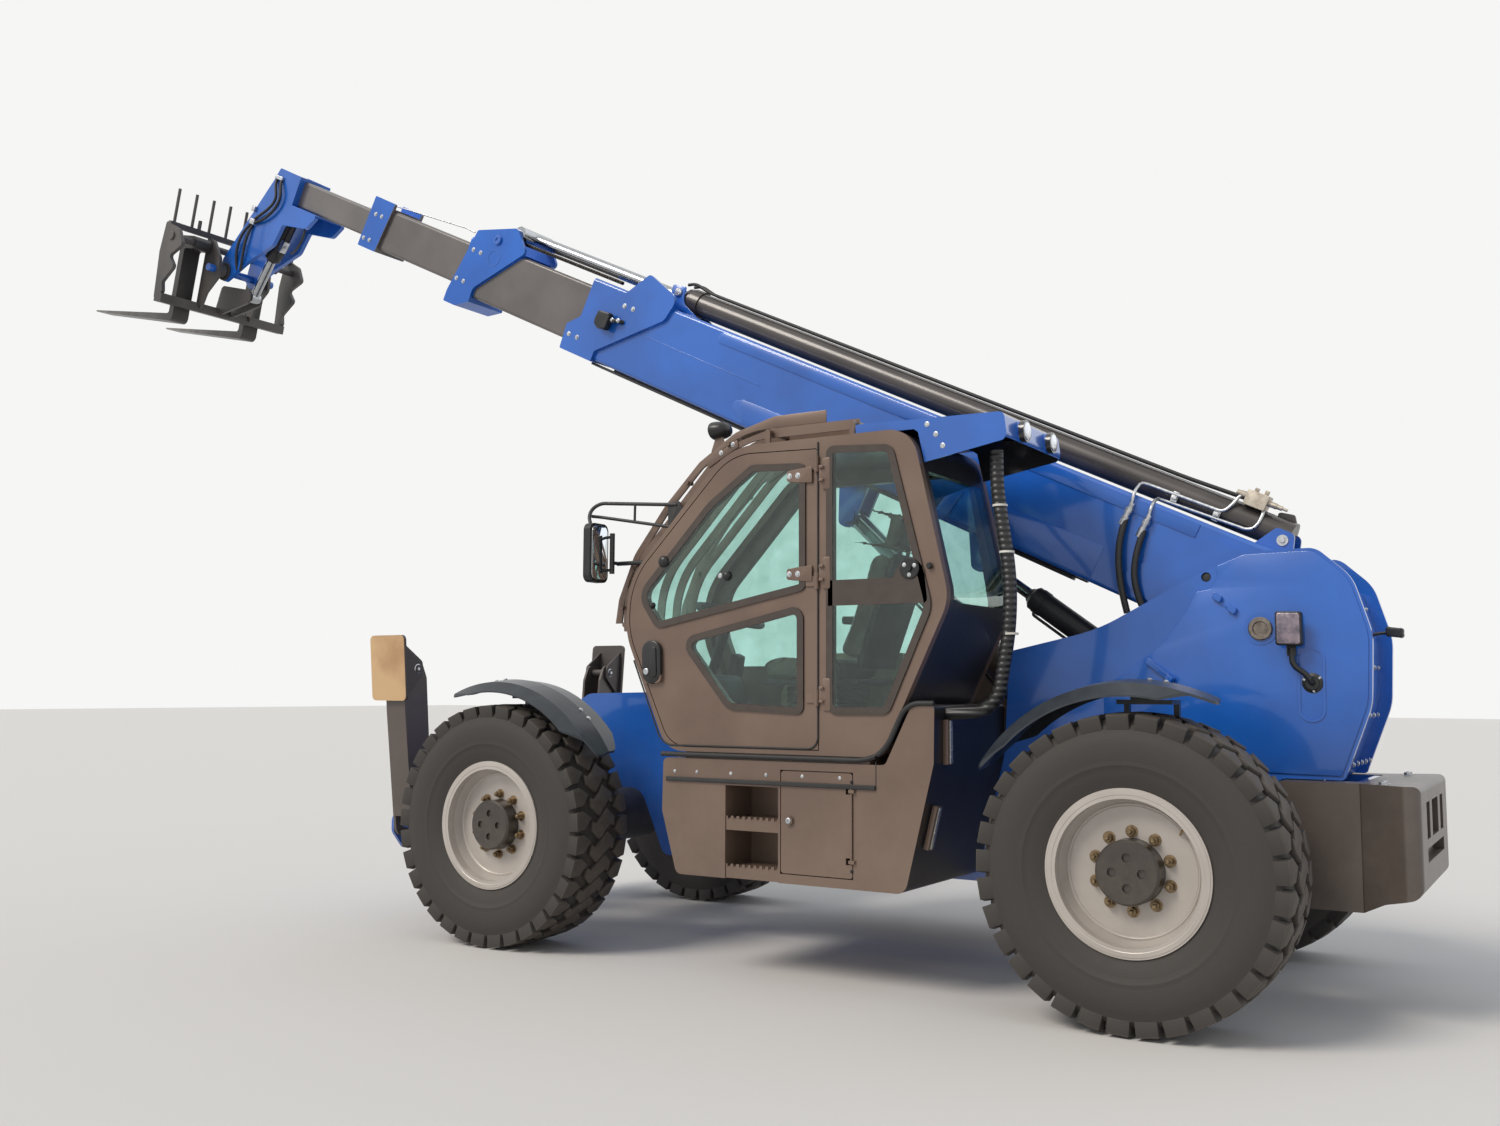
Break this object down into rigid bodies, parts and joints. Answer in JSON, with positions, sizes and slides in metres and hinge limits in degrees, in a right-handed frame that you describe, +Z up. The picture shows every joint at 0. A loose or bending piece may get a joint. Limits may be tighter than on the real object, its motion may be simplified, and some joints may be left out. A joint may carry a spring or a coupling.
{
  "type": "telehandler",
  "caption": "Telescopic handler with a cab, a side engine pod, a raised sectioned boom with pallet forks, and folded front stabilisers.",
  "frame": {"origin": "on the ground under the middle of the whole length, in the middle plane", "axes": "+X forward along the vehicle, towards the forks; +Y to the left; +Z up"},
  "size_m": [10.0052, 2.5705, 5.5315],
  "materials": {
    "blue_paint": "gloss blue paint",
    "brown_grey_paint": "satin metallic brown-grey paint",
    "dark_paint": "satin dark brown-grey paint",
    "section_paint": "satin charcoal paint",
    "black_paint": "satin black paint",
    "rim_paint": "silver paint",
    "tyre": "matt black rubber",
    "fender": "glossy dark plastic",
    "cast": "painted casting",
    "chrome": "polished chrome",
    "pad_face": "rusted and worn steel",
    "glass": "tinted glass",
    "trim": "matt black plastic and cloth",
    "hose": "black rubber",
    "mirror": "mirror in black housing"
  },
  "bodies": {
    "chassis": {"chassis_frame": "blue_paint", "boom_tower": "blue_paint", "counterweight": "dark_paint", "axle_front": "cast", "axle_rear": "cast", "cab_left": "brown_grey_paint", "cab_right": "brown_grey_paint", "cab_floor": "brown_grey_paint", "cab_rear": "brown_grey_paint", "cab_front": "brown_grey_paint", "cab_glass": "glass", "roof_guard": "black_paint", "visor": "blue_paint", "cab_inside": "trim", "step_box": "brown_grey_paint", "engine_pod": "brown_grey_paint", "mirror": "mirror", "hoses": "hose"},
    "knuckle_fl": {"knuckle_fl": "cast", "fender_fl": "fender"},
    "wheel_fl": {"rim_fl": "rim_paint", "tyre_fl": "tyre"},
    "knuckle_fr": {"knuckle_fr": "cast", "fender_fr": "fender"},
    "wheel_fr": {"rim_fr": "rim_paint", "tyre_fr": "tyre"},
    "knuckle_rl": {"knuckle_rl": "cast", "fender_rl": "fender"},
    "wheel_rl": {"rim_rl": "rim_paint", "tyre_rl": "tyre"},
    "knuckle_rr": {"knuckle_rr": "cast", "fender_rr": "fender"},
    "wheel_rr": {"rim_rr": "rim_paint", "tyre_rr": "tyre"},
    "boom_outer": {"boom_outer": "blue_paint", "extension_barrel": "dark_paint"},
    "boom_second": {"boom_second": "section_paint", "extension_rod": "chrome"},
    "boom_third": {"boom_third": "section_paint"},
    "boom_fourth": {"boom_fourth": "blue_paint"},
    "carriage": {"carriage": "black_paint", "forks": "black_paint"},
    "lift_barrel": {"lift_barrel": "black_paint"},
    "lift_rod": {"lift_rod": "chrome"},
    "slave_barrel": {"slave_barrel": "black_paint"},
    "slave_rod": {"slave_rod": "chrome"},
    "tilt_barrel": {"tilt_barrel": "black_paint"},
    "tilt_rod": {"tilt_rod": "chrome"},
    "leg_left": {"leg_left": "dark_paint"},
    "leg_pad_left": {"leg_pad_left": "pad_face"},
    "leg_barrel_left": {"leg_barrel_left": "black_paint"},
    "leg_rod_left": {"leg_rod_left": "chrome"},
    "leg_right": {"leg_right": "dark_paint"},
    "leg_pad_right": {"leg_pad_right": "pad_face"},
    "leg_barrel_right": {"leg_barrel_right": "black_paint"},
    "leg_rod_right": {"leg_rod_right": "chrome"},
    "cab_door": {"cab_door": "brown_grey_paint", "door_glass": "glass"},
    "locker_door": {"locker_door": "brown_grey_paint"},
    "engine_hood": {"engine_hood": "brown_grey_paint"}
  },
  "joints": [
    {"name": "steer_fl", "type": "hinge", "parent": "chassis", "child": "knuckle_fl", "pos_m": [-0.357, 0.8, 0.675], "axis": [0, 0, 1], "range_deg": [-30, 30]},
    {"name": "wheel_fl_spin", "type": "hinge", "parent": "knuckle_fl", "child": "wheel_fl", "pos_m": [-0.357, 1.04, 0.675], "axis": [0, 1, 0], "continuous": true},
    {"name": "steer_fr", "type": "hinge", "parent": "chassis", "child": "knuckle_fr", "pos_m": [-0.357, -0.8, 0.675], "axis": [0, 0, 1], "range_deg": [-30, 30]},
    {"name": "wheel_fr_spin", "type": "hinge", "parent": "knuckle_fr", "child": "wheel_fr", "pos_m": [-0.357, -1.04, 0.675], "axis": [0, 1, 0], "continuous": true},
    {"name": "steer_rl", "type": "hinge", "parent": "chassis", "child": "knuckle_rl", "pos_m": [-3.957, 0.8, 0.675], "axis": [0, 0, 1], "range_deg": [-30, 30]},
    {"name": "wheel_rl_spin", "type": "hinge", "parent": "knuckle_rl", "child": "wheel_rl", "pos_m": [-3.957, 1.04, 0.675], "axis": [0, 1, 0], "continuous": true},
    {"name": "steer_rr", "type": "hinge", "parent": "chassis", "child": "knuckle_rr", "pos_m": [-3.957, -0.8, 0.675], "axis": [0, 0, 1], "range_deg": [-30, 30]},
    {"name": "wheel_rr_spin", "type": "hinge", "parent": "knuckle_rr", "child": "wheel_rr", "pos_m": [-3.957, -1.04, 0.675], "axis": [0, 1, 0], "continuous": true},
    {"name": "boom_lift", "type": "hinge", "parent": "chassis", "child": "boom_outer", "pos_m": [-4.347, 0, 1.731], "axis": [0, -1, 0], "range_deg": [-27.7, 44.3]},
    {"name": "boom_extend_second", "type": "slide", "parent": "boom_outer", "child": "boom_second", "axis": [0.9011, 0, 0.4337], "range_m": [-0.54, 2.4]},
    {"name": "boom_extend_third", "type": "slide", "parent": "boom_second", "child": "boom_third", "axis": [0.9011, 0, 0.4337], "range_m": [-0.54, 2.4]},
    {"name": "boom_extend_fourth", "type": "slide", "parent": "boom_third", "child": "boom_fourth", "axis": [0.9011, 0, 0.4337], "range_m": [-0.54, 2.4]},
    {"name": "carriage_tilt", "type": "hinge", "parent": "boom_fourth", "child": "carriage", "pos_m": [3.64942, 0, 4.79702], "axis": [0, 1, 0], "range_deg": [-22, 70]},
    {"name": "lift_swing", "type": "hinge", "parent": "chassis", "child": "lift_barrel", "pos_m": [-3.6283, 0, 0.8819], "axis": [0, -1, 0], "range_deg": [-26.12, 41.48]},
    {"name": "lift_stroke", "type": "slide", "parent": "lift_barrel", "child": "lift_rod", "axis": [0.7138, 0, 0.7004], "range_m": [-0.4419, 0.7056]},
    {"name": "slave_swing", "type": "hinge", "parent": "chassis", "child": "slave_barrel", "pos_m": [-4.0039, 0, 1.2892], "axis": [0, -1, 0], "range_deg": [-27.09, 43.03]},
    {"name": "slave_stroke", "type": "slide", "parent": "slave_barrel", "child": "slave_rod", "axis": [0.8076, 0, 0.5897], "range_m": [-0.2631, 0.4195]},
    {"name": "tilt_swing", "type": "hinge", "parent": "boom_fourth", "child": "tilt_barrel", "pos_m": [2.96107, 0, 5.27033], "axis": [0, 1, 0], "range_deg": [-5.65, 2.12]},
    {"name": "tilt_stroke", "type": "slide", "parent": "tilt_barrel", "child": "tilt_rod", "axis": [0.5937, 0, -0.8047], "range_m": [-0.2937, 0.0937]},
    {"name": "leg_left_swing", "type": "hinge", "parent": "chassis", "child": "leg_left", "pos_m": [0.603, 0.875, 0.6], "axis": [-1, 0, 0], "range_deg": [0, 114]},
    {"name": "pad_left_swing", "type": "hinge", "parent": "leg_left", "child": "leg_pad_left", "pos_m": [0.603, 0.95867, 1.55635], "axis": [1, 0, 0], "range_deg": [0, 40]},
    {"name": "leg_left_cylinder_swing", "type": "hinge", "parent": "chassis", "child": "leg_barrel_left", "pos_m": [0.603, 0.2, 1.12], "axis": [-1, 0, 0], "range_deg": [-0.5, 12.45]},
    {"name": "leg_left_cylinder_stroke", "type": "slide", "parent": "leg_barrel_left", "child": "leg_rod_left", "axis": [0, 0.9499, -0.3126], "range_m": [-0.002, 0.494]},
    {"name": "leg_right_swing", "type": "hinge", "parent": "chassis", "child": "leg_right", "pos_m": [0.603, -0.875, 0.6], "axis": [1, 0, 0], "range_deg": [0, 114]},
    {"name": "pad_right_swing", "type": "hinge", "parent": "leg_right", "child": "leg_pad_right", "pos_m": [0.603, -0.95867, 1.55635], "axis": [-1, 0, 0], "range_deg": [0, 40]},
    {"name": "leg_right_cylinder_swing", "type": "hinge", "parent": "chassis", "child": "leg_barrel_right", "pos_m": [0.603, -0.2, 1.12], "axis": [1, 0, 0], "range_deg": [-0.5, 12.45]},
    {"name": "leg_right_cylinder_stroke", "type": "slide", "parent": "leg_barrel_right", "child": "leg_rod_right", "axis": [0, -0.9499, -0.3126], "range_m": [-0.002, 0.494]},
    {"name": "cab_door_swing", "type": "hinge", "parent": "chassis", "child": "cab_door", "pos_m": [-2.444, 1.19, 1.15], "axis": [0, 0, 1], "range_deg": [0, 80]},
    {"name": "locker_door_swing", "type": "hinge", "parent": "chassis", "child": "locker_door", "pos_m": [-2.63, 1.184, 0.8], "axis": [0, 0, 1], "range_deg": [0, 110]},
    {"name": "engine_hood_swing", "type": "hinge", "parent": "chassis", "child": "engine_hood", "pos_m": [-2.207, -0.442, 1.58], "axis": [-1, 0, 0], "range_deg": [0, 60]}
  ],
  "couplings": [
    {"joint": "steer_fr", "follows": "steer_fl", "ratio": 1},
    {"joint": "steer_rr", "follows": "steer_rl", "ratio": 1},
    {"joint": "boom_extend_third", "follows": "boom_extend_second", "ratio": 1},
    {"joint": "boom_extend_fourth", "follows": "boom_extend_second", "ratio": 1},
    {"joint": "lift_swing", "follows": "boom_lift", "ratio": 0.925},
    {"joint": "lift_stroke", "follows": "boom_lift", "m_per_rad": 0.91},
    {"joint": "slave_swing", "follows": "boom_lift", "ratio": 0.96},
    {"joint": "slave_stroke", "follows": "boom_lift", "m_per_rad": 0.54},
    {"joint": "tilt_swing", "follows": "carriage_tilt", "ratio": -0.073618},
    {"joint": "tilt_stroke", "follows": "carriage_tilt", "m_per_rad": -0.23877},
    {"joint": "leg_left_cylinder_swing", "follows": "leg_left_swing", "ratio": 0.10483},
    {"joint": "leg_left_cylinder_stroke", "follows": "leg_left_swing", "m_per_rad": 0.24726},
    {"joint": "leg_right_cylinder_swing", "follows": "leg_right_swing", "ratio": 0.10483},
    {"joint": "leg_right_cylinder_stroke", "follows": "leg_right_swing", "m_per_rad": 0.24726}
  ]
}
